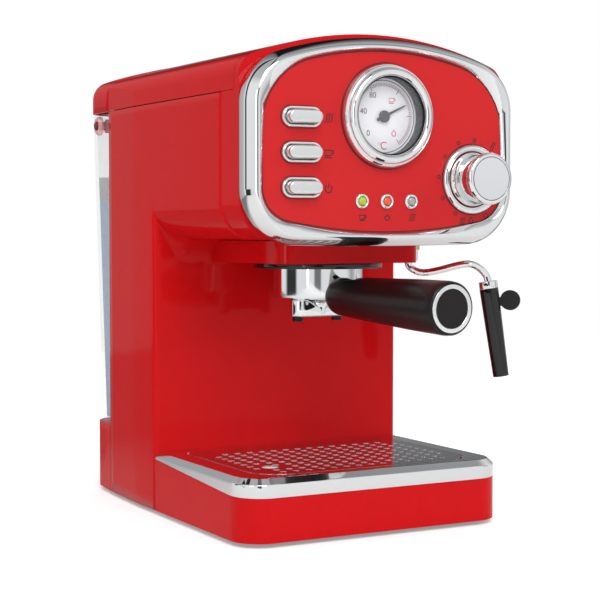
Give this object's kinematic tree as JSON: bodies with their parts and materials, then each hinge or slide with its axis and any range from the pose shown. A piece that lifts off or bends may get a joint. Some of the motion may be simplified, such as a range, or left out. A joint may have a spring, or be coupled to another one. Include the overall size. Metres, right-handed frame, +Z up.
{
  "type": "espresso machine",
  "caption": "Pump espresso machine with arched head, steam wand, portafilter, lift-out water tank behind the column and slide-out drip tray.",
  "frame": {"origin": "middle of the body's width, under the column's front, on the surface that the feet stand on", "axes": "+Z up, +X to the right seen from the front, the front faces -Y; the tank is at +Y"},
  "size_m": [0.235, 0.3428, 0.313],
  "materials": {
    "red_plastic": "high gloss",
    "black_plastic": "satin",
    "chrome": "polished",
    "steel": "brushed",
    "aluminium": "cast",
    "brass": "machined",
    "rubber": "matte",
    "clear_tank": "clear",
    "gauge_glass": "polished",
    "dial_white": "printed",
    "needle_black": "matte",
    "lamp_lens": "translucent",
    "board_green": "matte",
    "hose_clear": "matte",
    "pump_grey": "matte"
  },
  "bodies": {
    "housing": {"base_plate": "black_plastic", "rubber_feet": "rubber", "base_screws": "steel", "head_shell": "red_plastic", "column_shell": "red_plastic", "rear_panel": "red_plastic", "rear_base": "red_plastic", "top_cover": "red_plastic", "front_frame": "red_plastic", "bezel": "chrome", "control_panel": "red_plastic", "gauge_ring": "chrome", "gauge_housing": "black_plastic", "gauge_dial": "dial_white", "gauge_glass": "gauge_glass", "button_rings": "chrome", "control_board": "board_green", "lamp_rings": "chrome", "lamp_lenses": "lamp_lens", "knob_ring": "chrome", "steam_valve": "brass", "steam_pipes": "steel", "boiler": "aluminium", "group_block": "red_plastic", "group_disc": "black_plastic", "group_collar": "aluminium", "group_gasket": "rubber", "shower_screen": "steel", "pump": "pump_grey", "water_hoses": "hose_clear", "tank_seat": "black_plastic", "cord_gland": "black_plastic", "wand_socket": "brass"},
    "steam_button": {"steam_button": "chrome"},
    "brew_button": {"brew_button": "chrome"},
    "power_button": {"power_button": "chrome"},
    "gauge_needle": {"gauge_needle": "needle_black"},
    "steam_knob": {"steam_knob": "chrome", "valve_spindle": "brass"},
    "portafilter": {"portafilter_body": "chrome", "filter_basket": "steel", "double_spout": "chrome", "spout_nozzles": "black_plastic", "handle": "black_plastic", "handle_end_ring": "chrome", "handle_end_cap": "black_plastic"},
    "basket_clip": {"basket_clip": "black_plastic"},
    "steam_wand": {"wand_pivot": "chrome", "wand_tube": "chrome", "wand_collar": "chrome"},
    "frother_sleeve": {"frother_sleeve": "black_plastic"},
    "water_tank": {"water_tank": "clear_tank", "tank_valve": "black_plastic", "lid_hinge_pin": "steel"},
    "tank_lid": {"tank_lid": "red_plastic"},
    "tank_handle": {"tank_handle": "red_plastic"},
    "valve_plunger": {"valve_plunger": "steel"},
    "drip_tray": {"tray_body": "red_plastic", "tray_trim": "chrome"},
    "drip_grid": {"drip_grid": "steel"}
  },
  "joints": [
    {"name": "steam_button_press", "type": "slide", "parent": "housing", "child": "steam_button", "axis": [0, 1, 0], "range_m": [0, 0.0025], "stiffness_N_per_m": 300},
    {"name": "brew_button_press", "type": "slide", "parent": "housing", "child": "brew_button", "axis": [0, 1, 0], "range_m": [0, 0.0025], "stiffness_N_per_m": 300},
    {"name": "power_button_press", "type": "slide", "parent": "housing", "child": "power_button", "axis": [0, 1, 0], "range_m": [0, 0.0025], "stiffness_N_per_m": 300},
    {"name": "needle_turn", "type": "hinge", "parent": "housing", "child": "gauge_needle", "pos_m": [0, -0.1246, 0.262], "axis": [0, -1, 0], "range_deg": [-70, 198]},
    {"name": "knob_turn", "type": "hinge", "parent": "housing", "child": "steam_knob", "pos_m": [0.0635, -0.1246, 0.224], "axis": [0, -1, 0], "range_deg": [0, 270]},
    {"name": "portafilter_twist", "type": "hinge", "parent": "housing", "child": "portafilter", "pos_m": [0, -0.0375, 0.174], "axis": [0, 0, 1], "range_deg": [-45, 0]},
    {"name": "clip_flip", "type": "hinge", "parent": "portafilter", "child": "basket_clip", "pos_m": [0.00308, -0.0816, 0.1573], "axis": [0.9976, 0.0698, 0], "range_deg": [0, 35]},
    {"name": "wand_swivel", "type": "hinge", "parent": "housing", "child": "steam_wand", "pos_m": [0.0705, -0.04, 0.18], "axis": [0, 0, 1], "range_deg": [-60, 50]},
    {"name": "frother_pull", "type": "slide", "parent": "steam_wand", "child": "frother_sleeve", "axis": [0.1259, -0.067, -0.9898], "range_m": [0, 0.06]},
    {"name": "tank_lift", "type": "slide", "parent": "housing", "child": "water_tank", "axis": [0, 0, 1], "range_m": [0, 0.24]},
    {"name": "lid_hinge", "type": "hinge", "parent": "water_tank", "child": "tank_lid", "pos_m": [0, 0.157, 0.278], "axis": [-1, 0, 0], "range_deg": [0, 100]},
    {"name": "tank_handle_hinge", "type": "hinge", "parent": "water_tank", "child": "tank_handle", "pos_m": [0, 0.1314, 0.2674], "axis": [-1, 0, 0], "range_deg": [0, 75]},
    {"name": "plunger_slide", "type": "slide", "parent": "water_tank", "child": "valve_plunger", "axis": [0, 0, -1], "range_m": [0, 0.0015], "stiffness_N_per_m": 200},
    {"name": "tray_pull", "type": "slide", "parent": "housing", "child": "drip_tray", "axis": [0, -1, 0], "range_m": [0, 0.16]},
    {"name": "grid_lift", "type": "slide", "parent": "drip_tray", "child": "drip_grid", "axis": [0, 0, 1], "range_m": [0, 0.03]}
  ]
}
